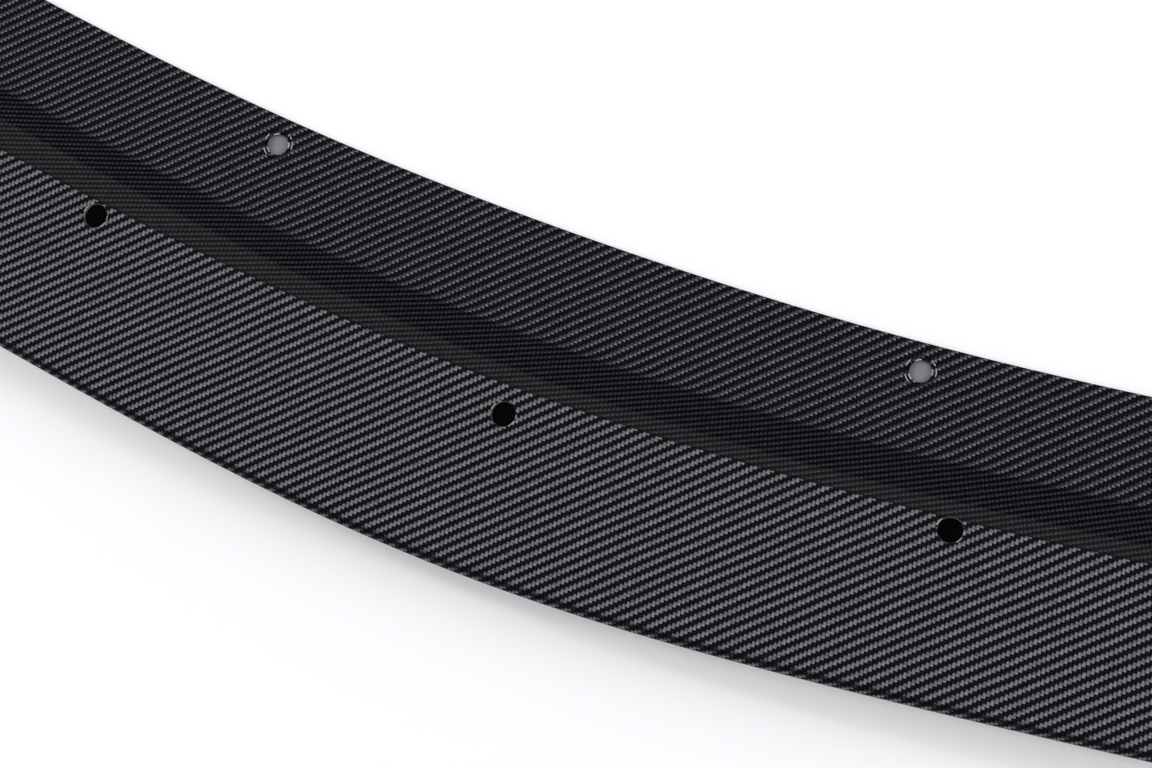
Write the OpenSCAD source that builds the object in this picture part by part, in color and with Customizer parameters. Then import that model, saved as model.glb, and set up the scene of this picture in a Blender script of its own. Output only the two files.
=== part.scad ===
// Front splitter lip, moulded in one piece as a thin laminate panel.
// A flat blade runs along the front, a sloping wall steps down behind it,
// and a flat flange lies along the back. The whole section follows one
// curve in plan: a rounded nose, two swept arms and two turned corners.
// The origin is on the middle of the flange's underside, on the centreline.
// X runs along the lip, Y to the back and Z up.

/* [Blade] */
// Depth of the blade at the middle, from its front edge to the crease
blade_mid = 117.5; // [90:0.5:150]
// Depth of the blade out along the arms and round the corners
blade_side = 109; // [90:0.5:150]
// Distance along the lip over which the extra depth at the middle fades
mid_fade = 240; // [120:10:400]

/* [Step wall] */
// Height of the blade's face above the flange's face
step_h = 53; // [35:1:80]
// Distance that the sloping wall runs back
wall_run = 41; // [25:1:60]

/* [Rear flange] */
// Depth of the flange at the middle, from the wall to its rear edge
flange_mid = 70; // [50:0.5:90]
// Depth of the flange out along the arms and round the corners
flange_side = 64.5; // [50:0.5:90]

/* [Plan curve] */
// Angle in degrees that the arms sweep back at
arm_sweep = 11.4; // [5:0.1:18]
// Half width of the rounded nose that joins the arms
nose_half_w = 415; // [250:5:600]
// Distance from the centreline to the start of each corner
corner_x = 530; // [460:10:620]
// Radius of each corner along the crease
corner_r = 270; // [220:10:360]
// Angle in degrees that each corner turns through
corner_turn = 60; // [30:1:65]
// Length of the straight wing that runs on past each corner
wing_len = 60; // [20:5:150]

/* [Laminate] */
// Thickness of the moulded skin
skin_t = 2.5; // [1.5:0.1:4]
// Inside radius of the bend along the crease
crease_in_r = 1; // [0.5:0.5:5]
// Radius of the fillet in the face at the foot of the wall
foot_r = 9; // [4:0.5:14]
// Inside radius of the rolled front edge
front_in_r = 3.5; // [2:0.5:7]
// Height of the straight return below the rolled front edge
front_return = 6; // [2:0.5:20]

/* [Blade holes] */
// Diameter of the fixing holes through the blade
blade_hole_d = 15.4; // [8:0.2:16]
// Width of the broken edge round each blade hole
blade_hole_chamfer = 0.6; // [0.2:0.1:1]
// Distance from the crease forward to the centre of the middle hole
mid_hole_set = 17.5; // [14:0.5:60]
// Distance along the lip from the middle to the left hole
left_hole_run = 296; // [200:1:420]
// Distance from the crease forward to the centre of the left hole
left_hole_set = 8.9; // [8:0.1:60]
// Distance along the lip from the middle to the right hole
right_hole_run = 275; // [200:1:420]
// Distance from the crease forward to the centre of the right hole
right_hole_set = 6.5; // [6:0.5:60]
// Distance along the lip from the middle to the hole in each corner
corner_hole_run = 600; // [500:5:700]
// Distance from the crease forward to the centre of each corner hole
corner_hole_set = 14; // [12:0.5:60]

/* [Flange holes] */
// Diameter of the fixing holes through the flange
flange_hole_d = 13.8; // [6:0.2:16]
// Distance from the flange's rear edge to the hole centres
flange_hole_edge = 18; // [12:0.5:30]
// Distance along the lip from the middle to the inner flange holes
inner_hole_run = 231; // [120:1:320]
// Distance along the lip from the middle to the outer flange holes
outer_hole_run = 640; // [420:5:720]
// Diameter of the shallow spot face round each flange hole
spot_d = 21; // [18:0.5:24]
// Depth of the spot face
spot_depth = 0.4; // [0.2:0.1:0.8]

/* [Hidden] */

// Height of the flange's face and of the blade's face above the underside
flange_top = skin_t;
blade_top = skin_t + step_h;
// Outside radii of the crease and of the rolled edge, and the rim's height
crease_r = crease_in_r + skin_t;
front_r = front_in_r + skin_t;
rim_z = blade_top - front_r - front_return;
// Angle that the wall drops at, and how far back of the crease the origin is
wall_angle = atan(step_h / wall_run);
origin_back = wall_run + flange_mid / 2;
// Length of each corner along the crease
corner_len = corner_r * corner_turn * PI / 180;
// Steps along each half of the middle, round each corner, along each wing
// and round each bend of the section
mid_steps = 16;
corner_steps = 16;
wing_steps = 2;
roll_steps = 6;
crease_steps = 4;
foot_steps = 7;
// Sides of the drilled holes, and how far a cutter runs past the skin
hole_fn = 64;
cut_over = 5;

// Angle turned inside the corner at a distance run along the lip
function corner_angle(run) =
    min(max(0, abs(run) - corner_x) / corner_len, 1) * corner_turn;
function wing_run(run) = max(0, abs(run) - corner_x - corner_len);

// Plan of the crease: a hyperbola for nose and arms, to which each corner
// adds an arc and each wing a straight line
function plan_x(run) =
    let (turn = corner_angle(run))
    sign(run) * (min(abs(run), corner_x) + corner_r * sin(turn)
                 + wing_run(run) * cos(turn));
function nose_share(run) = plan_x(run) / nose_half_w;
function plan_y(run) =
    let (turn = corner_angle(run))
    nose_half_w * tan(arm_sweep) * (sqrt(1 + pow(nose_share(run), 2)) - 1)
    + corner_r * (1 - cos(turn)) + wing_run(run) * sin(turn);
function plan_slope(run) =
    tan(arm_sweep) * nose_share(run) / sqrt(1 + pow(nose_share(run), 2))
    + sign(run) * tan(corner_angle(run));

// Point at a run along the lip, a distance back from the crease and a height
function lip_point(run, back, height) =
    let (turn = atan(plan_slope(run)))
    [plan_x(run) - back * sin(turn),
     plan_y(run) + back * cos(turn) - origin_back,
     height];

// Depths of blade and flange, a little deeper at the middle
function mid_share(run) = exp(-pow(run / mid_fade, 2));
function blade_depth(run) = blade_side + (blade_mid - blade_side) * mid_share(run);
function flange_depth(run) = flange_side + (flange_mid - flange_side) * mid_share(run);

// Arc of face points: distance back, height and the angle the face looks at
function arc(centre, radius, from, to, steps, inside = false) =
    [for (i = [0:steps])
        let (a = from + (to - from) * i / steps)
        [centre[0] + radius * cos(a), centre[1] + radius * sin(a), inside ? a + 180 : a]];

// Upper face of the section from the front rim to the rear edge
function section_face(run) =
    let (front = -blade_depth(run),
         crease_cut = crease_r * tan(wall_angle / 2),
         foot_cut = foot_r * tan(wall_angle / 2))
    concat(
        [[front, rim_z, 180]],
        arc([front + front_r, blade_top - front_r], front_r, 180, 90, roll_steps),
        arc([-crease_cut, blade_top - crease_r], crease_r, 90, 90 - wall_angle, crease_steps),
        arc([wall_run + foot_cut, flange_top + foot_r], foot_r,
            -90 - wall_angle, -90, foot_steps, inside = true),
        [[wall_run + flange_depth(run), flange_top, 90]]);

// Closed section: the upper face, then the underside one skin below it
function section_loop(run) =
    let (face = section_face(run), last = len(face) - 1)
    concat(
        [for (p = face) lip_point(run, p[0], p[1])],
        [for (i = [last:-1:0])
            let (p = face[i])
            lip_point(run, p[0] - skin_t * cos(p[2]), p[1] - skin_t * sin(p[2]))]);

// Runs of the sections outside the middle, then all from left end to right
side_runs = concat(
    [for (i = [1:corner_steps]) corner_x + corner_len * i / corner_steps],
    [for (i = [1:wing_steps]) corner_x + corner_len + wing_len * i / wing_steps]);
runs = concat(
    [for (i = [len(side_runs) - 1:-1:0]) -side_runs[i]],
    [for (i = [-mid_steps:mid_steps]) corner_x * i / mid_steps],
    side_runs);

// Bent panel, skinned from section to section and closed at both ends
module panel() {
    loops = [for (r = runs) section_loop(r)];
    n = len(loops[0]);
    half = n / 2;
    last = len(loops) - 1;
    sides = [for (j = [0:last - 1], i = [0:n - 1])
        let (a = j * n + i, b = j * n + (i + 1) % n)
        each [[a, b, a + n], [b, b + n, a + n]]];
    left_end = [for (i = [0:half - 2])
        each [[i, n - 1 - i, i + 1], [i + 1, n - 1 - i, n - 2 - i]]];
    right_end = [for (f = left_end) [for (k = [2:-1:0]) f[k] + last * n]];
    polyhedron(
        points = [for (l = loops) each l],
        faces = concat(sides, left_end, right_end));
}

// Cutter for a drilled hole with a wider ring sunk into the face above it
module hole_cut(run, back, face_z, hole_d, ring_d, ring_depth, tapered) {
    translate(lip_point(run, back, face_z)) {
        translate([0, 0, -skin_t - cut_over])
            cylinder(h = skin_t + 2 * cut_over, d = hole_d, $fn = hole_fn);
        translate([0, 0, -ring_depth])
            cylinder(h = ring_depth + (tapered ? 0 : cut_over),
                     d1 = tapered ? hole_d : ring_d, d2 = ring_d, $fn = hole_fn);
    }
}

module blade_hole(run, set) {
    hole_cut(run, -set, blade_top, blade_hole_d,
             blade_hole_d + 2 * blade_hole_chamfer, blade_hole_chamfer, true);
}

module flange_hole(run) {
    hole_cut(run, wall_run + flange_depth(run) - flange_hole_edge, flange_top,
             flange_hole_d, spot_d, spot_depth, false);
}

module splitter_lip() {
    color("#1d1f24")
        difference() {
            panel();
            blade_hole(0, mid_hole_set);
            blade_hole(-left_hole_run, left_hole_set);
            blade_hole(right_hole_run, right_hole_set);
            for (side = [-1, 1]) {
                blade_hole(side * corner_hole_run, corner_hole_set);
                flange_hole(side * inner_hole_run);
                flange_hole(side * outer_hole_run);
            }
        }
}

splitter_lip();
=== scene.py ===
# %% [markdown]
# # A front splitter lip in carbon laminate
# The lip runs along the bottom edge of a car's nose. It is one thin moulded panel: a flat blade
# in front, a wall that steps down behind it and a flat flange that it is fixed by. Everything
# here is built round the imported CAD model, which is loaded first and never moved.

import bpy
import numpy as np
from mathutils import Matrix, Vector


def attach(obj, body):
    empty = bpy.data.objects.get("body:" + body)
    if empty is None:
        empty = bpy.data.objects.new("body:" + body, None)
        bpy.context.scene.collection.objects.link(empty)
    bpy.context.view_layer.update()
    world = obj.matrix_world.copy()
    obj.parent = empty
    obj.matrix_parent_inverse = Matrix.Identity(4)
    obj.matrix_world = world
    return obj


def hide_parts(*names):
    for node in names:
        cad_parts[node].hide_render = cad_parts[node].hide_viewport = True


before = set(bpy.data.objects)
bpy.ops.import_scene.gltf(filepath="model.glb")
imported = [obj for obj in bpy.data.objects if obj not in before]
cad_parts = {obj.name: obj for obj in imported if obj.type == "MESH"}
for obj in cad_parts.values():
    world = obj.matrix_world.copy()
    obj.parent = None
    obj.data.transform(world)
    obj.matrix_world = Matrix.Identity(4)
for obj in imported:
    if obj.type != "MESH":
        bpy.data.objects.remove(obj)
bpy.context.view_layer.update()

# %% [markdown]
# ## Four helpers
# Colours are written as sRGB hex values, as a maker would read them off a sample card, and the
# shader wants linear light, so one function turns them. Node trees are long lists of nodes with
# their settings and links, so one small function adds a node of any kind and joins it up. The
# last two put an object in the scene and start an empty finish.

# %% Helpers
MM = 0.001
# The kinds of node that come up most
MATH, VECTOR_MATH, MIX = "ShaderNodeMath", "ShaderNodeVectorMath", "ShaderNodeMix"
MAP_RANGE, STORE = "ShaderNodeMapRange", "GeometryNodeStoreNamedAttribute"
STORED = "GeometryNodeInputNamedAttribute"


def linear(hex_colour):
    """Linear RGBA of an sRGB hex colour."""
    parts = [int(hex_colour[i:i + 2], 16) / 255 for i in (1, 3, 5)]
    return [c / 12.92 if c <= 0.04045 else ((c + 0.055) / 1.055) ** 2.4 for c in parts] + [1.0]


def add(tree, kind, inputs=None, **settings):
    """A node of that kind with its settings.

    Inputs are values, the sockets that feed them, or nodes, whose first output feeds them."""
    made = tree.nodes.new(kind)
    for name, value in settings.items():
        setattr(made, name, value)
    for key, value in (inputs or {}).items():
        if isinstance(value, bpy.types.Node):
            value = value.outputs[0]
        if isinstance(value, bpy.types.NodeSocket):
            tree.links.new(value, made.inputs[key])
        else:
            made.inputs[key].default_value = value
    return made


def put(name, data):
    """Object of that name and data, in the scene."""
    made = bpy.data.objects.new(name, data)
    bpy.context.collection.objects.link(made)
    return made


def empty_finish(name):
    """Material with a node tree that is still empty."""
    made = bpy.data.materials.new(name)
    made.use_nodes = True
    made.node_tree.nodes.clear()
    return made


print("helpers ready: #808080 is", round(linear("#808080")[0], 3), "in linear light")

# %% [markdown]
# ## Sizes
# These are the sizes of the CAD source in millimetres. The lip's shape follows a rule: one
# section, drawn once, is carried along one curve in plan. The sizes of that rule are the only
# numbers that the visual panel needs.

# %% Sizes of the lip
BLADE_MID, BLADE_SIDE, MID_FADE = 117.5, 109.0, 240.0
STEP_H, WALL_RUN = 53.0, 41.0
FLANGE_MID, FLANGE_SIDE = 70.0, 64.5
ARM_SWEEP, NOSE_HALF_W = np.radians(11.4), 415.0
CORNER_X, CORNER_R, CORNER_TURN, WING_LEN = 530.0, 270.0, np.radians(60.0), 60.0
SKIN, CREASE_R, FOOT_R, FRONT_R, FRONT_RETURN = 2.5, 3.5, 9.0, 6.0, 6.0
BLADE_HOLE_D, BLADE_HOLE_EDGE = 15.4, 0.6
FLANGE_HOLE_D, SPOT_D, SPOT_DEPTH = 13.8, 21.0, 0.4

FLANGE_TOP = SKIN
BLADE_TOP = SKIN + STEP_H
RIM_Z = BLADE_TOP - FRONT_R - FRONT_RETURN
WALL_ANGLE = np.arctan2(STEP_H, WALL_RUN)
ORIGIN_BACK = WALL_RUN + FLANGE_MID / 2
CORNER_LEN = CORNER_R * CORNER_TURN
END_RUN = CORNER_X + CORNER_LEN + WING_LEN
print(f"the lip is {2 * END_RUN:.0f} mm long along its crease, {BLADE_TOP} mm high")

# %% [markdown]
# ## The curve in plan
# Seen from above, the crease between blade and wall is a hyperbola: a rounded nose that runs out
# into two swept arms. Each corner adds an arc to it, and each wing a straight line. The curve
# could be drawn by hand as a spline, but a formula gives the same curve as the CAD and any
# number of points on it.

# %% Plan curve
def plan(run):
    """Crease point x, y and heading, at distances run along the lip from the middle."""
    side = np.sign(run)
    turn = CORNER_TURN * np.clip((np.abs(run) - CORNER_X) / CORNER_LEN, 0, 1)
    wing = np.maximum(0, np.abs(run) - CORNER_X - CORNER_LEN)
    x = side * (np.minimum(np.abs(run), CORNER_X) + CORNER_R * np.sin(turn) + wing * np.cos(turn))
    nose = np.sqrt(1 + (x / NOSE_HALF_W) ** 2)
    sweep = np.tan(ARM_SWEEP)
    y = NOSE_HALF_W * sweep * (nose - 1) + CORNER_R * (1 - np.cos(turn)) + wing * np.sin(turn)
    slope = sweep * x / NOSE_HALF_W / nose + side * np.tan(turn)
    return x, y - ORIGIN_BACK, np.arctan(slope)


def middle_share(run):
    return np.exp(-(run / MID_FADE) ** 2)


def lip_point(run, back):
    """Point in plan at a distance back from the crease."""
    x, y, heading = plan(run)
    return np.stack([x - back * np.sin(heading), y + back * np.cos(heading)], -1)


print("ends of the crease:", lip_point(np.array([-END_RUN, END_RUN]), 0).round(1).tolist())

# %% [markdown]
# ## The section
# A moulded skin has no sharp line on it. The front edge rolls over a radius and hangs down as a
# short return, the crease and the foot of the wall are rounded, and the trimmed edges are
# sanded. Each bend is an arc with one more point close beside each of its ends, so that the
# smooth shading of the bend doesn't spread over the flats.
#
# Every point of the section also carries what the Geometry Nodes tree needs: how much of the
# blade's and of the flange's depth to add, the point on the skin's middle line that it shrinks
# to at the lip's ends, and its place on the cloth if the skin were unrolled. The cloth lies over
# the mould without being cut, so the weave has to follow the wall down and the flange out.

# %% Stations along the section
EDGE_R, SANDED_POINTS = 0.45, 4
# How far from a bend and from a trimmed edge the flats get one more station
BESIDE, NEAR_EDGE = 0.7, 1.3
# Strip along the rear edge that keeps its width where the flange is deeper
REAR_STRIP = 3.2
# Places of cloth and glow among a station's values
CLOTH, GLOW = 4, 5
ROLL_STEPS, CREASE_STEPS, FOOT_STEPS = 9, 6, 9
BLADE_PARTS, WALL_PARTS, FLANGE_PARTS = 8, 6, 5


class Station:
    """A point of the section. Blade and flange are shares of those depths to add to back."""

    def __init__(self, blade, flange, back, height, lean, cloth, glow, dash):
        self.values = np.array([blade, flange, back, height, cloth, glow, dash], float)
        self.lean = lean

    def toward(self, other, share):
        v = self.values * (1 - share) + other.values * share
        return Station(*v[:CLOTH], self.lean, *v[CLOTH:])


def bend(blade, centre, radius, start, end, steps, cloth, glow, dash, ease=1.0, inside=False):
    """Stations round a bend. Cloth is its place at the start; glow and dash are (from, to).

    They change late in the bend where ease is above one, and early where it is below."""
    made = []
    for i in range(steps + 1):
        share = i / steps
        angle = start + (end - start) * share
        lean = angle + np.pi if inside else angle
        made.append(Station(
            blade, 0, centre[0] + radius * np.cos(angle), centre[1] + radius * np.sin(angle),
            lean, cloth + radius * abs(angle - start),
            glow[0] + (glow[1] - glow[0]) * share ** ease,
            dash[0] + (dash[1] - dash[0]) * share ** ease))
    return made


def flat(start, end, steps, length):
    """Stations between two bends, with one close beside each of them."""
    shares = [BESIDE / length, *(np.arange(1, steps) / steps), 1 - BESIDE / length]
    return [start.toward(end, s) for s in shares]


# Painted brightness of the floats on each face, 1 on the blade, lower on the return and the wall as
# painted shade, and how far the painted light gathers into dashes
GLOW_RETURN, GLOW_WALL, GLOW_FLANGE, GLOW_SUNK = 0.3, 0.24, 0.9, 0.4
DASH_BLADE, DASH_WALL, DASH_FLANGE = 0.0, 0.6, 1.0
# Painted highlight along the roll's front and on its top, with a band of painted shade between, by
# degrees from the front
ROLL_DEGREES = [0, 20, 35, 50, 60, 70, 80, 90]
ROLL_GLOW = [1.2, 1.2, 0.8, 0.2, 0.05, 0.12, 0.6, 1.0]
# Painted highlight where the crease begins to turn, and then a thin line of painted shade parts it
# from the wall
CREASE_SHARES = [0, 0.2, 0.4, 0.6, 0.75, 1]
CREASE_GLOW = [1.0, 1.25, 1.2, 0.4, 0.02, 0.02]

crease_cut = CREASE_R * np.tan(WALL_ANGLE / 2)
foot_cut = FOOT_R * np.tan(WALL_ANGLE / 2)
quarter = np.pi / 2

roll = bend(1, (FRONT_R, BLADE_TOP - FRONT_R), FRONT_R, 2 * quarter, quarter, ROLL_STEPS,
            FRONT_R - FRONT_R * quarter, (0, 0), (0, 0))
for piece in roll:
    piece.values[GLOW] = np.interp(180 - np.degrees(piece.lean), ROLL_DEGREES, ROLL_GLOW)
crease = bend(0, (-crease_cut, BLADE_TOP - CREASE_R), CREASE_R, quarter, quarter - WALL_ANGLE,
              CREASE_STEPS, -crease_cut, (0, 0), (DASH_BLADE, DASH_WALL), ease=4.0)
for k, piece in enumerate(crease):
    piece.values[GLOW] = np.interp(k / CREASE_STEPS, CREASE_SHARES, CREASE_GLOW)
wall_length = np.hypot(STEP_H, WALL_RUN) - crease_cut - foot_cut
foot = bend(0, (WALL_RUN + foot_cut, FLANGE_TOP + FOOT_R), FOOT_R, -quarter - WALL_ANGLE,
            -quarter, FOOT_STEPS, crease[-1].values[CLOTH] + wall_length,
            (GLOW_WALL, GLOW_FLANGE), (DASH_WALL, DASH_FLANGE), ease=0.5, inside=True)
wall = flat(crease[-1], foot[0], WALL_PARTS, wall_length)
for piece in wall:
    piece.values[GLOW] = GLOW_WALL
flange_length = FLANGE_SIDE - foot_cut
rear_cloth = foot[-1].values[CLOTH] - foot_cut
rim = Station(1, 0, 0, RIM_Z, np.pi, roll[0].values[CLOTH] - FRONT_RETURN, GLOW_RETURN, 0)
rear = Station(0, 1, WALL_RUN, FLANGE_TOP, quarter, rear_cloth, GLOW_FLANGE, DASH_FLANGE)
rear_inner = Station(0, 1, WALL_RUN - REAR_STRIP, FLANGE_TOP, quarter, rear_cloth - REAR_STRIP,
                     GLOW_FLANGE, DASH_FLANGE)
face = [
    rim.toward(roll[0], EDGE_R / FRONT_RETURN),
    rim.toward(roll[0], NEAR_EDGE / FRONT_RETURN),
    rim.toward(roll[0], 1 - BESIDE / FRONT_RETURN),
    *roll,
    *flat(roll[-1], crease[0], BLADE_PARTS, BLADE_SIDE - FRONT_R),
    *crease,
    *wall,
    *foot,
    *flat(foot[-1], rear_inner, FLANGE_PARTS, flange_length)[:-1],
    rear_inner,
    rear_inner.toward(rear, (REAR_STRIP - NEAR_EDGE) / REAR_STRIP),
    rear_inner.toward(rear, (REAR_STRIP - EDGE_R) / REAR_STRIP),
]
print(len(face), "stations on the face, wall", round(wall_length, 1), "mm down its slope")

# %% [markdown]
# The underside is the face pushed in by the skin's thickness, walked back from rear to front.
# The two trimmed edges, at the rear and under the return, get their sanded corners in between.

# %% Close the section
def skin_point(station, depth):
    """Back and height of a station pushed into the skin."""
    back, height = station.values[2:4]
    return back - depth * np.cos(station.lean), height - depth * np.sin(station.lean)


def row(station, depth, core, under):
    """Numbers that the tree reads: shares, point, core point, cloth, glow, dash, under."""
    v = station.values
    return [v[0], v[1], *skin_point(station, depth), *core, v[4], v[5], v[6], under]


def sanded(edge, centre, start, core, under):
    """Quarter round of a trimmed edge's corner, clockwise in the section."""
    v = edge.values
    angles = start - np.linspace(0, quarter, SANDED_POINTS)
    return [[v[0], v[1], centre[0] + EDGE_R * np.cos(a), centre[1] + EDGE_R * np.sin(a), *core,
             v[4], v[5], v[6], under] for a in angles]


half_skin = SKIN / 2
rim_core = (half_skin, RIM_Z + half_skin)
rear_core = (WALL_RUN - half_skin, half_skin)


def core_of(station):
    """Where a station shrinks to: the skin's middle line, short of the trimmed edges."""
    if station is face[0]:
        return rim_core
    if station is face[-1]:
        return rear_core
    return skin_point(station, half_skin)


section = [row(s, 0, core_of(s), 0) for s in face[:-1]]
section += sanded(rear, (WALL_RUN - EDGE_R, FLANGE_TOP - EDGE_R), quarter, rear_core, 0)
section += sanded(rear, (WALL_RUN - EDGE_R, EDGE_R), 0, rear_core, 1)
section += [row(s, SKIN, core_of(s), 1) for s in face[-2:0:-1]]
section += sanded(rim, (SKIN - EDGE_R, RIM_Z + EDGE_R), 0, rim_core, 1)
section += sanded(rim, (EDGE_R, RIM_Z + EDGE_R), -quarter, rim_core, 0)
section = np.array(section)
print(len(section), "points round the closed section")

# %% [markdown]
# ## Guides for the tree
# A Geometry Nodes tree can read another object's points and their named attributes. So the
# curve and the section each become a mesh of loose points, and the tree sets one against the
# other. They could be Bezier curves with Curve to Mesh, but that turns its profile square to
# the path and can't let the blade's depth change along it.

# %% Guide meshes
def guide(name, points, **attributes):
    """Object with loose points and float attributes."""
    mesh = bpy.data.meshes.new(name)
    mesh.from_pydata(np.asarray(points, float).tolist(), [], [])
    for key, values in attributes.items():
        layer = mesh.attributes.new(key, "FLOAT", "POINT")
        layer.data.foreach_set("value", np.asarray(values, np.float32))
    return put(name, mesh)


MIDDLE_ROWS, CORNER_ROWS, WING_ROWS = 213, 70, 6
side_runs = np.concatenate([
    CORNER_X + CORNER_LEN * np.arange(1, CORNER_ROWS + 1) / CORNER_ROWS,
    CORNER_X + CORNER_LEN + (WING_LEN - EDGE_R) * np.arange(1, WING_ROWS + 1) / WING_ROWS])
runs = np.linspace(-CORNER_X, CORNER_X, MIDDLE_ROWS)
runs = np.concatenate([-side_runs[::-1], runs, side_runs])
# Two more rows at each end: the sanded corner, then the section shrunk to its middle line
runs = np.concatenate([[-END_RUN] * 2, runs, [END_RUN] * 2])
pinch = np.zeros(len(runs))
pinch[[1, -2]] = EDGE_R / half_skin
pinch[[0, -1]] = 1

crease_x, crease_y, heading = plan(runs)
path_guide = guide(
    "path_guide", np.stack([crease_x * MM, crease_y * MM, 0 * runs], -1),
    heading=heading, middle=middle_share(runs), pinch=pinch)
section_guide = guide(
    "section_guide", np.stack([section[:, 2] * MM, 0 * section[:, 0], section[:, 3] * MM], -1),
    blade=section[:, 0], flange=section[:, 1], core_back=section[:, 4] * MM,
    core_height=section[:, 5] * MM, cloth=section[:, 6] * MM, glow=section[:, 7],
    dash=section[:, 8], under=section[:, 9])
print(len(runs), "rows along the lip by", len(section), "points")

# %% [markdown]
# ## The drills
# The holes are drilled after moulding. A drill is turned like a part on a lathe, from its
# profile, and cut out of the panel. The blade's drill breaks the edge with a small rounded
# chamfer. The flange's drill sinks a shallow spot face round the hole, where a washer sits.
# The rims also get short pale arcs, painted glints drawn like lacquer that a drill tore as it went
# through.

# %% Drills
def drill(name, steps, torn, sides=96):
    """Closed turned solid from steps of (radius, height, finish), bottom to top, in millimetres.

    A step's finish holds up to the next one: bare laminate, lacquer that has sunk, or a name in
    the last argument, which lists the degrees between which the sunk lacquer gets pale painted
    glints."""
    angles = 2 * np.pi * np.arange(sides) / sides
    points = [(r * np.cos(a) * MM, r * np.sin(a) * MM, z * MM) for r, z, _ in steps for a in angles]
    turned = np.degrees(angles + np.pi / sides)
    # Two waves out of step break the painted glint arcs up
    ragged = np.sin(7 * angles) + np.sin(17 * angles + 1) > -0.5
    faces = [tuple(range(sides))[::-1]]
    finishes = ["bare"]
    for k in range(len(steps) - 1):
        kind = steps[k][2]
        has_painted_glint = np.any([ragged & ((turned - low) % 360 < high - low)
                          for low, high in torn.get(kind, [(0, 0)])], axis=0)
        finishes += ["torn" if t else "sunk" if kind in torn else kind for t in has_painted_glint]
        for i in range(sides):
            j = (i + 1) % sides
            faces.append((k * sides + i, k * sides + j, (k + 1) * sides + j, (k + 1) * sides + i))
    faces.append(tuple(range((len(steps) - 1) * sides, len(steps) * sides)))
    finishes.append("bare")
    mesh = bpy.data.meshes.new(name)
    mesh.from_pydata(points, [], faces)
    for kind in ("bare", "sunk", "torn"):
        marked = mesh.attributes.new(kind, "BOOLEAN", "FACE")
        marked.data.foreach_set("value", [f == kind for f in finishes])
    return put(name, mesh)


def broken_edge(radius, width, top, finishes):
    """Steps of a hole's edge, rounded over a width, that ends at height top."""
    angles = np.linspace(0, quarter, len(finishes))
    return [(radius + width * (1 - np.cos(a)), top - width * (1 - np.sin(a)), f)
            for a, f in zip(angles, finishes)]


blade_r, flange_r, spot_r = BLADE_HOLE_D / 2, FLANGE_HOLE_D / 2, SPOT_D / 2
# A drill runs on past the skin both ways
RUN_ON = 5
# Broken edge of the flange's holes, and how far past the hole its rim carries painted glints
FLANGE_HOLE_EDGE, RIM_GLINT_WIDTH = 0.3, 0.8
# Ring in the spot face, which carries painted glints in arcs: inner and outer distance from its
# rim, and its rise
RING_IN, RING_OUT, RING_RISE = 1.2, 0.6, 0.12
SPOT_BREAK, SPOT_BREAK_DEPTH = 0.15, 0.1
blade_drill = drill("blade_drill", [
    (blade_r, -SKIN - RUN_ON, "bare"),
    *broken_edge(blade_r, BLADE_HOLE_EDGE, 0, ["bare", "bare", "rim", "rim", "sunk"]),
    (blade_r + BLADE_HOLE_EDGE, RUN_ON, "sunk")], torn={"rim": [(120, 195), (-45, 15)]})
flange_drill = drill("flange_drill", [
    (flange_r, -SKIN - RUN_ON, "bare"),
    *broken_edge(flange_r, FLANGE_HOLE_EDGE, -SPOT_DEPTH, ["bare", "bare", "rim", "rim"]),
    (flange_r + RIM_GLINT_WIDTH, -SPOT_DEPTH, "sunk"),
    (spot_r - RING_IN, -SPOT_DEPTH, "ring"),
    (spot_r - RING_OUT, -SPOT_DEPTH + RING_RISE, "sunk"),
    (spot_r - SPOT_BREAK, -SPOT_BREAK_DEPTH, "sunk"),
    (spot_r, 0, "sunk"), (spot_r, RUN_ON, "sunk")],
    torn={"rim": [(-15, 30), (95, 140), (200, 262)], "ring": [(-10, 62), (150, 178), (203, 240)]})

MIDDLE_SET, LEFT_RUN, LEFT_SET, RIGHT_RUN, RIGHT_SET = 17.5, 296.0, 8.9, 275.0, 6.5
CORNER_RUN, CORNER_SET, INNER_RUN, OUTER_RUN, REAR_EDGE = 600.0, 14.0, 231.0, 640.0, 18.0
blade_holes = [(0.0, MIDDLE_SET), (-LEFT_RUN, LEFT_SET), (RIGHT_RUN, RIGHT_SET),
               (-CORNER_RUN, CORNER_SET), (CORNER_RUN, CORNER_SET)]
flange_holes = [-OUTER_RUN, -INNER_RUN, INNER_RUN, OUTER_RUN]


def flange_depth(run):
    return FLANGE_SIDE + (FLANGE_MID - FLANGE_SIDE) * middle_share(run)


blade_spots = [[*(lip_point(r, -s) * MM), BLADE_TOP * MM] for r, s in map(np.array, blade_holes)]
flange_spots = [[*(lip_point(r, WALL_RUN + flange_depth(r) - REAR_EDGE) * MM), FLANGE_TOP * MM]
                for r in map(np.array, flange_holes)]
blade_points = guide("blade_hole_points", blade_spots)
flange_points = guide("flange_hole_points", flange_spots)
print(len(blade_spots), "holes in the blade,", len(flange_spots), "in the flange")

# %% [markdown]
# ## The laminate: cloth under lacquer
# The skin is woven carbon cloth, wetted with epoxy, pressed in a mould and lacquered. The cloth
# is a 2x2 twill: each flat tow of fibres passes over two tows and under two, one step along
# from its neighbour, and that makes the diagonal ribs. Tows of 3000 filaments lie 2 mm apart.
#
# The weave could be thousands of tiny curved ribbons, but under the lacquer the surface is
# smooth, so it belongs to the material. The group below works out, for any point of the cloth
# in millimetres, which tow is on top, how far across it the point lies and how far along its
# float. A twill is a checker rule: number the tows one way i and the other way j, and
# (i - j) modulo 4 says who is on top.

# %% Twill group
TOW = 2.0
# Tows wander by about 0.2 mm over 50 mm, as handled cloth does
WANDER_WAVE, WANDER_REACH = 45, 0.9

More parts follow.
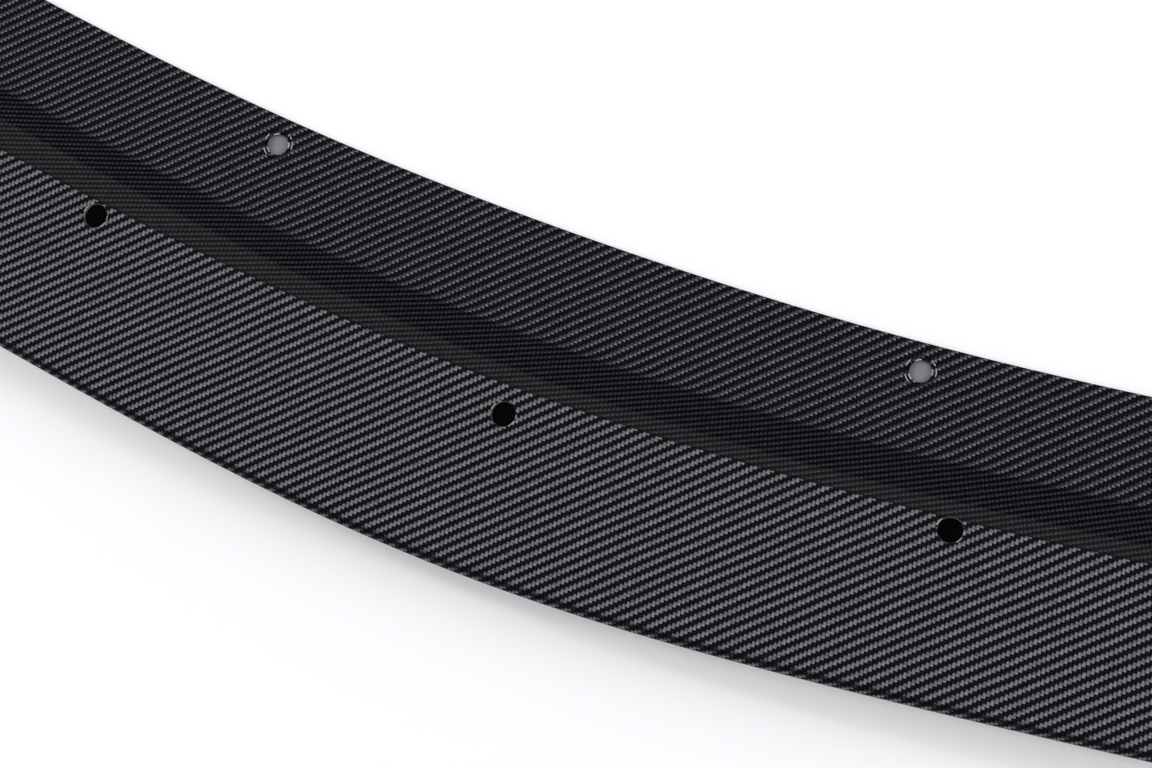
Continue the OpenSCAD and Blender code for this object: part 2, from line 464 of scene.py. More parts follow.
twill = bpy.data.node_groups.new("twill_2x2", "ShaderNodeTree")
twill.interface.new_socket("Cloth", in_out="INPUT", socket_type="NodeSocketVector")
for name in ("Crosswise", "Across", "Along", "Crown", "Chance"):
    twill.interface.new_socket(name, in_out="OUTPUT", socket_type="NodeSocketFloat")

cloth_in = add(twill, "NodeGroupInput")
wander = add(twill, "ShaderNodeTexNoise", {"Vector": cloth_in.outputs["Cloth"],
             "Scale": 1 / WANDER_WAVE, "Detail": 1.0, "Roughness": 0.5}, noise_dimensions="2D")
centred = add(twill, VECTOR_MATH, {0: wander.outputs["Color"], 1: (0.5, 0.5, 0.5)},
              operation="SUBTRACT")
moved = add(twill, VECTOR_MATH, {0: centred, 1: (WANDER_REACH, WANDER_REACH, 0.0),
            2: cloth_in.outputs["Cloth"]}, operation="MULTIPLY_ADD")
counted = add(twill, VECTOR_MATH, {0: moved, 1: (1 / TOW, 1 / TOW, 0.0)}, operation="MULTIPLY")
whole = add(twill, VECTOR_MATH, {0: counted}, operation="FLOOR")
parts = add(twill, VECTOR_MATH, {0: counted}, operation="FRACTION")
tow = add(twill, "ShaderNodeSeparateXYZ", {0: whole})
part = add(twill, "ShaderNodeSeparateXYZ", {0: parts})
apart = add(twill, MATH, {0: tow.outputs["X"], 1: tow.outputs["Y"]}, operation="SUBTRACT")
step = add(twill, MATH, {0: apart, 1: 4.0}, operation="FLOORED_MODULO")
crosswise = add(twill, MATH, {0: step, 1: 1.5}, operation="LESS_THAN")

# Across the tow, -1 to 1, and along its float, 0 to 1
across = add(twill, MIX, {"Factor": crosswise, "A": part.outputs["Y"], "B": part.outputs["X"]})
across_tow = add(twill, MATH, {0: across, 1: 2.0, 2: -1.0}, operation="MULTIPLY_ADD")
along_x = add(twill, MATH, {0: part.outputs["X"], 1: step}, operation="ADD")
along_x_half = add(twill, MATH, {0: along_x, 1: 0.5, 2: -1.0}, operation="MULTIPLY_ADD")
along_y = add(twill, MATH, {0: part.outputs["Y"], 1: step}, operation="SUBTRACT")
along_y_half = add(twill, MATH, {0: along_y, 1: 0.5, 2: 0.5}, operation="MULTIPLY_ADD")
along = add(twill, MIX, {"Factor": crosswise, "A": along_x_half, "B": along_y_half})

# Crown: the float rises from under one tow and dives under the next, and is a little domed
rise_angle = add(twill, MATH, {0: along, 1: float(np.pi)}, operation="MULTIPLY")
rise = add(twill, MATH, {0: rise_angle}, operation="SINE")
dome_square = add(twill, MATH, {0: across_tow, 1: across_tow}, operation="MULTIPLY")
dome = add(twill, MATH, {0: dome_square, 1: -0.75, 2: 1.0}, operation="MULTIPLY_ADD")
crown = add(twill, MATH, {0: rise, 1: dome}, operation="MULTIPLY")

# One chance number for each float, so that no two look quite alike
float_mix = add(twill, MATH, {0: apart, 1: 0.25}, operation="MULTIPLY")
float_down = add(twill, MATH, {0: apart, 1: -0.25, 2: 0.25}, operation="MULTIPLY_ADD")
float_count = add(twill, MIX, {"Factor": crosswise, "A": float_mix, "B": float_down})
float_whole = add(twill, MATH, {0: float_count}, operation="FLOOR")
tow_count = add(twill, MIX, {"Factor": crosswise, "A": tow.outputs["Y"], "B": tow.outputs["X"]})
float_name = add(twill, "ShaderNodeCombineXYZ", {0: tow_count, 1: float_whole, 2: crosswise})
chance = add(twill, "ShaderNodeTexWhiteNoise", {"Vector": float_name}, noise_dimensions="3D")
add(twill, "NodeGroupOutput", {"Crosswise": crosswise, "Across": across_tow, "Along": along,
    "Crown": crown, "Chance": chance.outputs["Value"]})
print("twill group:", len(twill.nodes), "nodes")

# %% [markdown]
# ## Gloss laminate
# Carbon is black, yet a crosswise float shines grey where its fibres turn towards the light,
# and a lengthwise float stays dark. On the blade the light spreads along the whole float. On
# the flange it gathers into a short dash near the float's front end, and on the steep wall it
# nearly goes out. Real fibres do this by their own gloss, but that needs many samples and is
# lost in an exported model. So it is painted in the base colour, by the glow and dash numbers
# that each face of the section carries, and the lacquer's gloss is left to the coat.

# %% Gloss laminate
# Black resin, the painted blue sheen on a dark tow's crown, and the painted grey highlight of
# fibres that catch the light
GLOSS_BLACK, PAINTED_CROWN_SHEEN, PAINTED_HIGHLIGHT_GREY = "#07090d", "#13151b", "#7f7f7f"
# Painted highlight along a float from its front end to its rear end, on the blade and on the flange
BLADE_LIGHT = [(0, 0), (0.05, 0.2), (0.13, 0.95), (0.22, 1), (0.5, 0.7), (0.72, 0.72),
               (0.86, 0.35), (1, 0)]
FLANGE_LIGHT = [(0, 0), (0.05, 0.25), (0.12, 0.9), (0.2, 1), (0.3, 0.7), (0.4, 0.32),
                (0.6, 0.28), (0.85, 0.12), (1, 0)]

gloss = empty_finish("carbon_twill_lacquered")
tree = gloss.node_tree
# The cloth coordinates in millimetres, from the panel's own map
place = add(tree, "ShaderNodeUVMap", uv_map="cloth")
weave = add(tree, "ShaderNodeGroup", {"Cloth": place}, node_tree=twill)
glow = add(tree, "ShaderNodeAttribute", attribute_name="glow")
dash = add(tree, "ShaderNodeAttribute", attribute_name="dash")

lights = []
for points in (BLADE_LIGHT, FLANGE_LIGHT):
    curve = add(tree, "ShaderNodeFloatCurve", {"Value": weave.outputs["Along"]})
    line = curve.mapping.curves[0].points
    line[0].location = points[0]
    line[1].location = points[-1]
    for along_at, level in points[1:-1]:
        line.new(along_at, level)
    curve.mapping.update()
    lights.append(curve)
along_light = add(tree, MIX, {"Factor": dash.outputs["Fac"], "A": lights[0], "B": lights[1]})

# Across the float the painted highlight fills the tow, and narrows from the right towards the rear
# end
left_edge = add(tree, MAP_RANGE, {"Value": weave.outputs["Across"], "From Min": -1.15,
                "From Max": -0.85}, interpolation_type="SMOOTHSTEP")
narrowing = add(tree, MAP_RANGE, {"Value": weave.outputs["Along"], "From Min": 0.3, "From Max": 1.0,
                "To Min": 1.1, "To Max": 0.5})
beyond = add(tree, MATH, {0: weave.outputs["Across"], 1: narrowing}, operation="SUBTRACT")
right_edge = add(tree, MAP_RANGE, {"Value": beyond, "From Min": 0.15, "From Max": -0.2},
                 interpolation_type="SMOOTHSTEP")
filled = add(tree, MATH, {0: left_edge, 1: right_edge}, operation="MULTIPLY")
float_light = add(tree, MATH, {0: along_light, 1: filled}, operation="MULTIPLY")

# Fibres show as streaks along the tow, drawn three to a tow, as single ones are too fine
cross = weave.outputs["Crosswise"]
streak_x = add(tree, "ShaderNodeMapping", {"Vector": place, "Scale": (1.5, 0.4, 1.0)})
streak_y = add(tree, "ShaderNodeMapping", {"Vector": place, "Scale": (0.4, 1.5, 1.0)})
streak_at = add(tree, MIX, {"Factor": cross, 4: streak_y, 5: streak_x}, data_type="VECTOR")
streak = add(tree, "ShaderNodeTexNoise", {"Vector": streak_at.outputs[1], "Scale": 1.0,
             "Detail": 2.0}, noise_dimensions="2D")
streak_gain = add(tree, MAP_RANGE, {"Value": streak, "From Min": 0.3, "From Max": 0.7,
                  "To Min": 0.45, "To Max": 1.45})
chance_gain = add(tree, MAP_RANGE, {"Value": weave.outputs["Chance"], "To Min": 0.82,
                  "To Max": 1.1})
gain = add(tree, MATH, {0: streak_gain, 1: chance_gain}, operation="MULTIPLY")
face_gain = add(tree, MATH, {0: gain, 1: glow.outputs["Fac"]}, operation="MULTIPLY")

# The bright tows take the float's painted highlight, and the dark ones a little painted blue sheen
# where they crown
lit = add(tree, MATH, {0: float_light, 1: face_gain}, operation="MULTIPLY")
crowned = add(tree, MATH, {0: weave.outputs["Crown"], 1: face_gain}, operation="MULTIPLY")
painted_highlight_tow = add(tree, MIX, {0: lit, 6: linear(GLOSS_BLACK), 7: linear(PAINTED_HIGHLIGHT_GREY)},
                 data_type="RGBA")
dark_tow = add(tree, MIX, {0: crowned, 6: linear(GLOSS_BLACK), 7: linear(PAINTED_CROWN_SHEEN)},
               data_type="RGBA")
weave_with_painted_light = add(tree, MIX, {0: cross, 6: dark_tow.outputs[2], 7: painted_highlight_tow.outputs[2]},
                  data_type="RGBA")
relief = add(tree, "ShaderNodeBump", {"Height": weave.outputs["Crown"], "Strength": 0.25,
             "Distance": 0.1 * MM})
shader = add(tree, "ShaderNodeBsdfPrincipled", {"Base Color": weave_with_painted_light.outputs[2],
             "Roughness": 0.5, "IOR": 1.5, "Specular IOR Level": 0.0, "Coat Weight": 0.1,
             "Coat Roughness": 0.03, "Coat IOR": 1.5, "Normal": relief})
add(tree, "ShaderNodeOutputMaterial", {"Surface": shader})
print("gloss laminate:", len(tree.nodes), "nodes")

# %% [markdown]
# ## Satin underside and bare edges
# The face was moulded against a polished mould and lacquered. The underside was pressed by a
# bag, so it is the same cloth under a thin, satin, slightly uneven skin of resin. Where the
# drill cut through, the laminate is bare: grey-black, dusty and dry.

# %% Satin laminate and cut edge
satin = empty_finish("carbon_twill_satin")
tree = satin.node_tree
place = add(tree, "ShaderNodeUVMap", uv_map="cloth")
weave = add(tree, "ShaderNodeGroup", {"Cloth": place}, node_tree=twill)
uneven = add(tree, "ShaderNodeTexNoise", {"Vector": place, "Scale": 1 / 14, "Detail": 3.0},
             noise_dimensions="2D")
# Painted sheen, as on the face: crosswise tows lighter than lengthwise ones, and each tow lighter
# where it crowns
painted_tow_sheen = add(tree, MIX, {0: weave.outputs["Crosswise"], 6: linear("#1f2124"),
                7: linear("#46484b")}, data_type="RGBA")
satin_painted_sheen = add(tree, MIX, {0: weave.outputs["Crown"], 6: linear("#0e0f11"),
                  7: painted_tow_sheen.outputs[2]}, data_type="RGBA")
satin_rough = add(tree, MAP_RANGE, {"Value": uneven, "From Min": 0.3, "From Max": 0.7,
                  "To Min": 0.38, "To Max": 0.6})
satin_height = add(tree, MATH, {0: weave.outputs["Crown"], 1: uneven}, operation="ADD")
relief = add(tree, "ShaderNodeBump", {"Height": satin_height, "Strength": 0.6,
             "Distance": 0.12 * MM})
shader = add(tree, "ShaderNodeBsdfPrincipled", {"Base Color": satin_painted_sheen.outputs[2],
             "Roughness": satin_rough, "IOR": 1.5, "Specular IOR Level": 0.4, "Normal": relief})
add(tree, "ShaderNodeOutputMaterial", {"Surface": shader})

cut = empty_finish("carbon_cut_edge")
tree = cut.node_tree
# Plies show as faint layers 0.25 mm thick in the cut
spot = add(tree, "ShaderNodeTexCoord")
layers = add(tree, "ShaderNodeMapping", {"Vector": spot.outputs["Object"],
             "Scale": (300.0, 300.0, 4000.0)})
plies = add(tree, "ShaderNodeTexNoise", {"Vector": layers, "Scale": 1.0, "Detail": 2.0})
cut_color = add(tree, MIX, {0: plies, 6: linear("#17181a"), 7: linear("#3d3e41")}, data_type="RGBA")
relief = add(tree, "ShaderNodeBump", {"Height": plies, "Strength": 0.5, "Distance": 0.05 * MM})
shader = add(tree, "ShaderNodeBsdfPrincipled", {"Base Color": cut_color.outputs[2],
             "Roughness": 0.55, "IOR": 1.5, "Specular IOR Level": 0.4, "Normal": relief})
add(tree, "ShaderNodeOutputMaterial", {"Surface": shader})

glint_paint = empty_finish("painted_rim_glints")
tree = glint_paint.node_tree
# Painted glints: pale grey to whitish, brighter in some places than in others, drawn like lacquer
# that a drill tore
spot = add(tree, "ShaderNodeTexCoord")
glint_patches = add(tree, "ShaderNodeTexNoise", {"Vector": spot.outputs["Object"], "Scale": 700.0,
             "Detail": 2.0})
glint_color = add(tree, MIX, {0: glint_patches, 6: linear("#5a5c5f"), 7: linear("#e0e2e4")},
                 data_type="RGBA")
shader = add(tree, "ShaderNodeBsdfPrincipled", {"Base Color": glint_color.outputs[2],
             "Roughness": 0.6, "IOR": 1.5, "Specular IOR Level": 0.4})
add(tree, "ShaderNodeOutputMaterial", {"Surface": shader})
print("materials:", gloss.name, satin.name, cut.name, glint_paint.name)

# %% [markdown]
# ## The panel by rule
# The tree makes a grid with one row for each point of the path and one column for each point
# of the section. Each grid point looks up its row in the one guide and its column in the
# other, and goes where the rule puts it. Merging by distance then closes the section and the
# two shrunk ends. The drills are set on their points and cut out in the same tree.

# %% Panel tree
WEAVE_ANGLE = float(np.radians(0.9))
# Points nearer than this are one point
WELD = 0.004 * MM

panel_tree = bpy.data.node_groups.new("splitter_panel", "GeometryNodeTree")
panel_tree.interface.new_socket("Geometry", in_out="OUTPUT", socket_type="NodeSocketGeometry")
panel_inputs = {
    "Path": ("NodeSocketObject", path_guide),
    "Section": ("NodeSocketObject", section_guide),
    "Blade depth at the middle": ("NodeSocketFloat", BLADE_MID * MM),
    "Blade depth at the sides": ("NodeSocketFloat", BLADE_SIDE * MM),
    "Flange depth at the middle": ("NodeSocketFloat", FLANGE_MID * MM),
    "Flange depth at the sides": ("NodeSocketFloat", FLANGE_SIDE * MM),
    "Weave angle": ("NodeSocketFloat", WEAVE_ANGLE),
    "Blade holes": ("NodeSocketObject", blade_points),
    "Blade drill": ("NodeSocketObject", blade_drill),
    "Flange holes": ("NodeSocketObject", flange_points),
    "Flange drill": ("NodeSocketObject", flange_drill),
    "Face finish": ("NodeSocketMaterial", gloss),
    "Underside finish": ("NodeSocketMaterial", satin),
    "Cut finish": ("NodeSocketMaterial", cut),
    "Torn finish": ("NodeSocketMaterial", glint_paint),
}
for name, (kind, value) in panel_inputs.items():
    panel_tree.interface.new_socket(name, in_out="INPUT", socket_type=kind)

tree = panel_tree
given = add(tree, "NodeGroupInput").outputs
path = add(tree, "GeometryNodeObjectInfo", {"Object": given["Path"]}).outputs["Geometry"]
profile = add(tree, "GeometryNodeObjectInfo", {"Object": given["Section"]}).outputs["Geometry"]
path_size = add(tree, "GeometryNodeAttributeDomainSize", {"Geometry": path})
profile_size = add(tree, "GeometryNodeAttributeDomainSize", {"Geometry": profile})
# One column more than the section has points, so that the last closes on the first
columns = add(tree, "FunctionNodeIntegerMath", {0: profile_size.outputs["Point Count"], 1: 1},
              operation="ADD")
grid = add(tree, "GeometryNodeMeshGrid", {"Vertices X": path_size.outputs["Point Count"],
           "Vertices Y": columns})
number = add(tree, "GeometryNodeInputIndex")
at_row = add(tree, "FunctionNodeIntegerMath", {0: number, 1: columns}, operation="DIVIDE")
at_column = add(tree, "FunctionNodeIntegerMath", {0: number, 1: columns}, operation="MODULO")
at_point = add(tree, "FunctionNodeIntegerMath", {0: at_column,
               1: profile_size.outputs["Point Count"]}, operation="MODULO")

looked_up = {}
for source, index, names in (
        (path, at_row, ("heading", "middle", "pinch")),
        (profile, at_point, ("blade", "flange", "core_back", "core_height", "cloth", "glow",
                             "dash", "under"))):
    for name in names:
        attribute = add(tree, STORED, {"Name": name})
        looked_up[name] = add(tree, "GeometryNodeSampleIndex", {"Geometry": source,
                              "Value": attribute, "Index": index})
position = add(tree, "GeometryNodeInputPosition")
path_at = add(tree, "GeometryNodeSampleIndex", {"Geometry": path, "Value": position,
              "Index": at_row}, data_type="FLOAT_VECTOR")
profile_at = add(tree, "GeometryNodeSampleIndex", {"Geometry": profile, "Value": position,
                 "Index": at_point}, data_type="FLOAT_VECTOR")

# Depths at this row, and how much of them this point adds
depths = []
for name in ("Blade", "Flange"):
    here = add(tree, MIX, {"Factor": looked_up["middle"], "A": given[name + " depth at the sides"],
               "B": given[name + " depth at the middle"]})
    depths.append(add(tree, MATH, {0: looked_up[name.lower()], 1: here}, operation="MULTIPLY"))
added = add(tree, MATH, {0: depths[1], 1: depths[0]}, operation="SUBTRACT")

# The section's own point, shrunk towards its core at the ends
core = add(tree, "ShaderNodeCombineXYZ", {"X": looked_up["core_back"],
           "Z": looked_up["core_height"]})
shrunk = add(tree, MIX, {"Factor": looked_up["pinch"], 4: profile_at, 5: core},
             data_type="VECTOR").outputs[1]
shrunk_parts = add(tree, "ShaderNodeSeparateXYZ", {0: shrunk})
back = add(tree, MATH, {0: shrunk_parts.outputs["X"], 1: added}, operation="ADD")
cloth_back = add(tree, MATH, {0: looked_up["cloth"], 1: added}, operation="ADD")

# Straight back from the crease at this row's heading
sine = add(tree, MATH, {0: looked_up["heading"]}, operation="SINE")
minus_sine = add(tree, MATH, {0: sine, 1: -1.0}, operation="MULTIPLY")
cosine = add(tree, MATH, {0: looked_up["heading"]}, operation="COSINE")
backwards = add(tree, "ShaderNodeCombineXYZ", {"X": minus_sine, "Y": cosine})
in_plan = add(tree, VECTOR_MATH, {0: backwards, "Scale": back}, operation="SCALE")
raised = add(tree, "ShaderNodeCombineXYZ", {"Z": shrunk_parts.outputs["Z"]})
carried = add(tree, VECTOR_MATH, {0: in_plan, 1: raised}, operation="ADD")
placed = add(tree, VECTOR_MATH, {0: carried, 1: path_at}, operation="ADD")
laid = add(tree, "GeometryNodeSetPosition", {"Geometry": grid.outputs["Mesh"], "Position": placed})

# Cloth coordinates in millimetres, turned to the weave
on_cloth = add(tree, VECTOR_MATH, {0: backwards, "Scale": cloth_back}, operation="SCALE")
on_cloth_at = add(tree, VECTOR_MATH, {0: on_cloth, 1: path_at}, operation="ADD")
turned = add(tree, "ShaderNodeVectorRotate", {"Vector": on_cloth_at, "Angle": given["Weave angle"]},
             rotation_type="Z_AXIS")
in_mm = add(tree, VECTOR_MATH, {0: turned, "Scale": 1 / MM}, operation="SCALE")
# A face corner's index isn't its point's, so each value is first found on the points
cloth_on_points = add(tree, "GeometryNodeFieldOnDomain", {"Value": in_mm}, data_type="FLOAT_VECTOR",
                      domain="POINT")
marked = add(tree, STORE, {"Geometry": laid, "Name": "cloth", "Value": cloth_on_points},
             data_type="FLOAT2", domain="CORNER")
for name in ("glow", "dash"):
    on_points = add(tree, "GeometryNodeFieldOnDomain", {"Value": looked_up[name]}, domain="POINT")
    marked = add(tree, STORE, {"Geometry": marked, "Name": name, "Value": on_points},
                 domain="CORNER")
under_points = add(tree, "GeometryNodeFieldOnDomain", {"Value": looked_up["under"]}, domain="POINT")
is_under = add(tree, "FunctionNodeCompare", {0: under_points, 1: 0.9}, operation="GREATER_THAN")
marked = add(tree, STORE, {"Geometry": marked, "Name": "underside", "Value": is_under},
             data_type="BOOLEAN", domain="FACE")
welded = add(tree, "GeometryNodeMergeByDistance", {"Geometry": marked, "Distance": WELD})
print("panel tree so far:", len(tree.nodes), "nodes")

# %% Drilling and finishes in the same tree
drills = add(tree, "GeometryNodeJoinGeometry")
for kind in ("Blade", "Flange"):
    points = add(tree, "GeometryNodeObjectInfo", {"Object": given[kind + " holes"]})
    tool = add(tree, "GeometryNodeObjectInfo", {"Object": given[kind + " drill"]})
    set_out = add(tree, "GeometryNodeInstanceOnPoints", {"Points": points.outputs["Geometry"],
                  "Instance": tool.outputs["Geometry"]})
    tree.links.new(set_out.outputs[0], drills.inputs[0])
solid_drills = add(tree, "GeometryNodeRealizeInstances", {0: drills})
drilled = add(tree, "GeometryNodeMeshBoolean", {"Mesh 1": welded, "Mesh 2": solid_drills},
              operation="DIFFERENCE", solver="EXACT")
# The sunk spot faces show the cloth of the face just above them, with its painted glow turned down
# as painted shade
is_sunk = add(tree, STORED, {"Name": "sunk"}, data_type="BOOLEAN")
for name, kind in (("cloth", "FLOAT_VECTOR"), ("glow", "FLOAT"), ("dash", "FLOAT")):
    above = add(tree, STORED, {"Name": name}, data_type=kind)
    nearest = add(tree, "GeometryNodeSampleNearestSurface", {"Mesh": welded, "Value": above},
                  data_type=kind)
    value = nearest
    if name == "glow":
        value = add(tree, MATH, {0: value, 1: GLOW_SUNK}, operation="MULTIPLY")
    drilled = add(tree, STORE, {"Geometry": drilled, "Selection": is_sunk, "Name": name,
                  "Value": value}, data_type="FLOAT2" if name == "cloth" else kind, domain="CORNER")
whole_panel = add(tree, "GeometryNodeRealizeInstances", {0: drilled})
finished = add(tree, "GeometryNodeSetMaterial", {"Geometry": whole_panel,
               "Material": given["Face finish"]})
for mark, finish in (("underside", "Underside finish"), ("bare", "Cut finish"),
                     ("torn", "Torn finish")):
    chosen = add(tree, STORED, {"Name": mark}, data_type="BOOLEAN")
    finished = add(tree, "GeometryNodeSetMaterial", {"Geometry": finished, "Selection": chosen,
                   "Material": given[finish]})
add(tree, "NodeGroupOutput", {"Geometry": finished})
print("panel tree:", len(tree.nodes), "nodes")

# %% [markdown]
# ## Bake the panel to a plain mesh
# The modifier's inputs are set by the identifiers of its sockets before Blender first evaluates
# it. Then the result is copied to a mesh of its own and the modifier goes, so that the mesh
# holds exactly what is seen. Edges that turn by more than 30 degrees stay sharp.

# %% Bake
SHARP = np.radians(30)

lip_panel = put("lip_panel", bpy.data.meshes.new("lip_panel_start"))
modifier = lip_panel.modifiers.new("panel", "NODES")
modifier.node_group = panel_tree
for socket in panel_tree.interface.items_tree:
    if socket.in_out == "INPUT":
        modifier[socket.identifier] = panel_inputs[socket.name][1]
graph = bpy.context.evaluated_depsgraph_get()
baked = bpy.data.meshes.new_from_object(lip_panel.evaluated_get(graph))
lip_panel.modifiers.clear()
lip_panel.data = baked
# The grid began with an empty finish, which no face has now
numbers = np.array([p.material_index for p in baked.polygons])
baked.materials.pop(index=0)
baked.polygons.foreach_set("material_index", numbers - 1)
baked.name = "lip_panel_mesh"
baked.shade_smooth()
baked.set_sharp_from_angle(angle=SHARP)
for used in (path_guide, section_guide, blade_points, flange_points, blade_drill, flange_drill):
    bpy.data.objects.remove(used)

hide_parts("splitter_lip")
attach(lip_panel, "root")
triangles = sum(len(p.vertices) - 2 for p in baked.polygons)
print("lip panel:", len(baked.vertices), "points,", triangles, "triangles,",
      [m.name for m in baked.materials])

# %% [markdown]
# ## Floor
# The lip lies on a plain pale floor. The floor is a wide disc with its rim turned up like a
# studio sweep, so that a low camera still sees it behind the lip. A thin sheet lies on the floor
# wholly under the lip: it paints shadow there, nearly black under the raised blade, and is
# mid-grey under the flange, where it shows through the holes. From below, the floor is
# see-through, so that the underside can be looked at.

# %% Floor and the sheet under the lip
FLOOR_Z, FLOOR_COLOUR = -0.0004, "#ffffff"
# The disc's radius, the radius that its rim turns up over, and the rim's height, in metres,
# and the sides of the disc
DISC_R, TURN_R, RIM_TOP, DISC_SIDES = 12.0, 3.0, 5.0, 128
# The sheet keeps this far inside the lip's ends and rear edge, and fades between these runs
SHEET_ENDS, SHEET_REAR, SHEET_STEPS = 15, 5, 150
FADE_FROM, FADE_TO = 650, 740


def stage_material(name, colour_socket=None, colour=None):
    """Matt floor paint, see-through from below. Where level, it lets light up through it too."""
    made = empty_finish(name)
    nodes = made.node_tree
    paint = add(nodes, "ShaderNodeBsdfDiffuse", {"Color": colour or (0.5, 0.5, 0.5, 1)})
    if colour_socket:
        tone = add(nodes, "ShaderNodeAttribute", attribute_name=colour_socket)
        nodes.links.new(tone.outputs["Color"], paint.inputs["Color"])
    clear = add(nodes, "ShaderNodeBsdfTransparent")
    side = add(nodes, "ShaderNodeNewGeometry")
    ray = add(nodes, "ShaderNodeLightPath")
    facing = add(nodes, "ShaderNodeSeparateXYZ", {0: side.outputs["True Normal"]})
    level = add(nodes, MATH, {0: facing.outputs["Z"], 1: 0.99}, operation="GREATER_THAN")
    let_up = add(nodes, MATH, {0: level, 1: ray.outputs["Is Shadow Ray"]}, operation="MULTIPLY")
    open_to = add(nodes, MATH, {0: side.outputs["Backfacing"], 1: let_up}, operation="MAXIMUM")
    mixed = add(nodes, "ShaderNodeMixShader", {0: open_to, 1: paint, 2: clear})
    add(nodes, "ShaderNodeOutputMaterial", {"Surface": mixed})
    return made


def strip_mesh(name, rings, closed):
    """Mesh from rows of points, each joined to the next."""
    count = len(rings[0])
    mesh = bpy.data.meshes.new(name)
    faces = []
    for k in range(len(rings) - 1):
        for i in range(count if closed else count - 1):
            j = (i + 1) % count
            faces.append((k * count + i, k * count + j, (k + 1) * count + j, (k + 1) * count + i))
    mesh.from_pydata(np.concatenate(rings).tolist(), [], faces)
    made = put(name, mesh)
    return made


round_the_disc = 2 * np.pi * np.arange(DISC_SIDES) / DISC_SIDES
sweep_profile = [(0.001, 0.0), (4.0, 0.0), (10.0, 0.0), (DISC_R, 0.0)]
sweep_profile += [(DISC_R + TURN_R * np.sin(a), TURN_R - TURN_R * np.cos(a))
                  for a in np.linspace(0.1, 1.5, 12)]
sweep_profile += [(DISC_R + TURN_R, RIM_TOP)]
floor = strip_mesh("floor", [
    np.stack([r * np.cos(round_the_disc), r * np.sin(round_the_disc),
              z + FLOOR_Z + 0 * round_the_disc], -1) for r, z in sweep_profile[::-1]], True)
floor.data.shade_smooth()
floor.data.materials.append(stage_material("pale_matt_floor", colour=linear(FLOOR_COLOUR)))

sheet_runs = np.linspace(-END_RUN + SHEET_ENDS, END_RUN - SHEET_ENDS, SHEET_STEPS)
# Tones by the distance back from the crease: a near-black painted shadow under the blade, mid-grey
# under the flange
painted_shadow_tones = [(-55.0, FLOOR_COLOUR), (-30.0, "#2c2d30"), (25.0, "#2c2d30"), (60.0, "#828487")]
sheet_rows = [lip_point(sheet_runs, b) for b, _ in painted_shadow_tones]
sheet_rows.append(lip_point(sheet_runs, WALL_RUN + flange_depth(sheet_runs) - SHEET_REAR))
sheet_colours = np.array([linear(c) for _, c in painted_shadow_tones] + [linear(painted_shadow_tones[-1][1])])
# Towards the lip's open ends the tones fade to the floor's own
fade = np.interp(np.abs(sheet_runs), [FADE_FROM, FADE_TO], [0, 1])[None, :, None]
sheet_colours = sheet_colours[:, None] * (1 - fade) + sheet_colours[0] * fade
sheet = strip_mesh("sheet_under_lip", [
    np.column_stack([r * MM, np.full(len(r), FLOOR_Z / 2)]) for r in sheet_rows], False)
tones = sheet.data.color_attributes.new("tone", "FLOAT_COLOR", "POINT")
tones.data.foreach_set("color", sheet_colours.ravel())
sheet.data.materials.append(stage_material("painted_shadow_tones", colour_socket="tone"))
for laid_flat in (floor, sheet):
    up = np.mean([p.normal.z for p in laid_flat.data.polygons])
    if up < 0:
        laid_flat.data.flip_normals()
print("floor and sheet:", len(floor.data.polygons), len(sheet.data.polygons), "faces")

# %% [markdown]
# ## Light
# Two long softboxes stand at the left and right, drawn as bright bands in the world, with a
# dim fill all round. The ceiling over the lip is dark. The lip is seen from almost straight
# above, so its lacquer mirrors that dark ceiling and the weave stays clear. A small lamp at
# each side adds the glints on rims and edges. One more lamp shines up through the floor, for
# whoever looks at the underside, and nothing else comes from below.

# %% World and lamps
FILL_LIGHT, SIDE_LIGHT, CEILING_LIGHT, FRONT_BIAS = 0.355, 2.94, 0.405, 0.15
# A touch of blue, as in daylight
LIGHT_COLOUR = "#fbfcff"
# Sideways reach of the bands, full and faded out, and the height where the ceiling starts and
# is full, as parts of a direction of length one
BAND_FULL, BAND_END, CEILING_START, CEILING_FULL = 0.15, 0.6, 0.68, 0.86

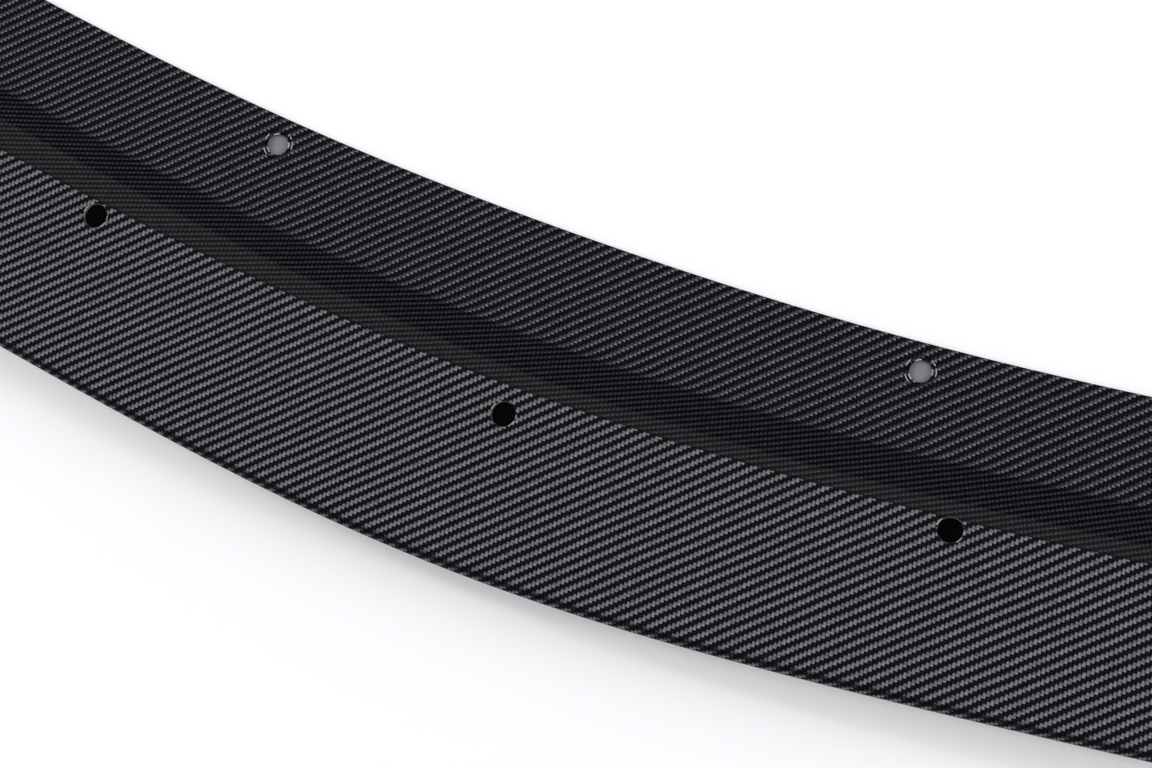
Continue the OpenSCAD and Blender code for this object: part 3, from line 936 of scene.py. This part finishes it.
world = bpy.data.worlds.new("studio")
bpy.context.scene.world = world
world.use_nodes = True
tree = world.node_tree
tree.nodes.clear()
towards = add(tree, "ShaderNodeTexCoord")
heights = add(tree, "ShaderNodeSeparateXYZ", {0: towards.outputs["Generated"]})
off_middle = add(tree, MATH, {0: heights.outputs["Y"]}, operation="ABSOLUTE")
bands = add(tree, MAP_RANGE, {"Value": off_middle, "From Min": BAND_END, "From Max": BAND_FULL,
            "To Min": FILL_LIGHT, "To Max": FILL_LIGHT + SIDE_LIGHT},
            interpolation_type="SMOOTHSTEP")
from_front = add(tree, MATH, {0: heights.outputs["Y"], 1: -FRONT_BIAS, 2: 1.0},
                 operation="MULTIPLY_ADD")
walls = add(tree, MATH, {0: bands, 1: from_front}, operation="MULTIPLY")
ceiling = add(tree, MAP_RANGE, {"Value": heights.outputs["Z"], "From Min": CEILING_START,
              "From Max": CEILING_FULL}, interpolation_type="SMOOTHSTEP")
strength = add(tree, MIX, {"Factor": ceiling, "A": walls, "B": CEILING_LIGHT})
above = add(tree, MATH, {0: heights.outputs["Z"], 1: 0.0}, operation="GREATER_THAN")
from_above = add(tree, MATH, {0: strength, 1: above}, operation="MULTIPLY")
sky = add(tree, "ShaderNodeBackground", {"Color": linear(LIGHT_COLOUR), "Strength": from_above})
add(tree, "ShaderNodeOutputWorld", {"Surface": sky})


def softbox(name, place, width, height, watts):
    """Rectangular lamp at a place, aimed at the lip."""
    lamp = bpy.data.lights.new(name, "AREA")
    lamp.shape = "RECTANGLE"
    lamp.size, lamp.size_y, lamp.energy = width, height, watts
    made = put(name, lamp)
    made.location = place
    made.rotation_euler = (-Vector(place)).to_track_quat("-Z", "Y").to_euler()


softbox("softbox_left", (-2.6, 0.15, 1.9), 0.25, 0.45, 16)
softbox("softbox_right", (2.7, 0.15, 1.8), 0.25, 0.45, 13)
softbox("softbox_below", (0.0, 0.0, -2.0), 1.6, 0.8, 38)
print("light: sides", SIDE_LIGHT, "fill", FILL_LIGHT, "ceiling", CEILING_LIGHT, "and three lamps")

# %% [markdown]
# ## Camera
# The photograph looks down on the lip from in front and to the right, with the camera rolled.
# The numbers were fitted from the edges, the holes and the pitch of the weave.

# %% Camera
EYE = Vector((0.35373, -0.21469, 1.45177))
AIM = Vector((0.02271, -0.05500, 0.0))
LENS, ROLL = 74.2755, np.radians(-21.5236)

look = (AIM - EYE).normalized()
side = look.cross(Vector((0, 1, 0))).normalized()
upright = side.cross(look)
up = upright * np.cos(ROLL) + side * np.sin(ROLL)
right = look.cross(up)
camera_data = bpy.data.cameras.new("camera")
camera_data.lens = LENS
camera_data.sensor_width = 36.0
camera = put("camera", camera_data)
camera.matrix_world = Matrix.Translation(EYE) @ Matrix((right, up, -look)).transposed().to_4x4()
bpy.context.scene.camera = camera
bpy.context.scene.view_settings.view_transform = "Standard"
print("camera", round(look.length, 3), "lens", LENS, "mm")
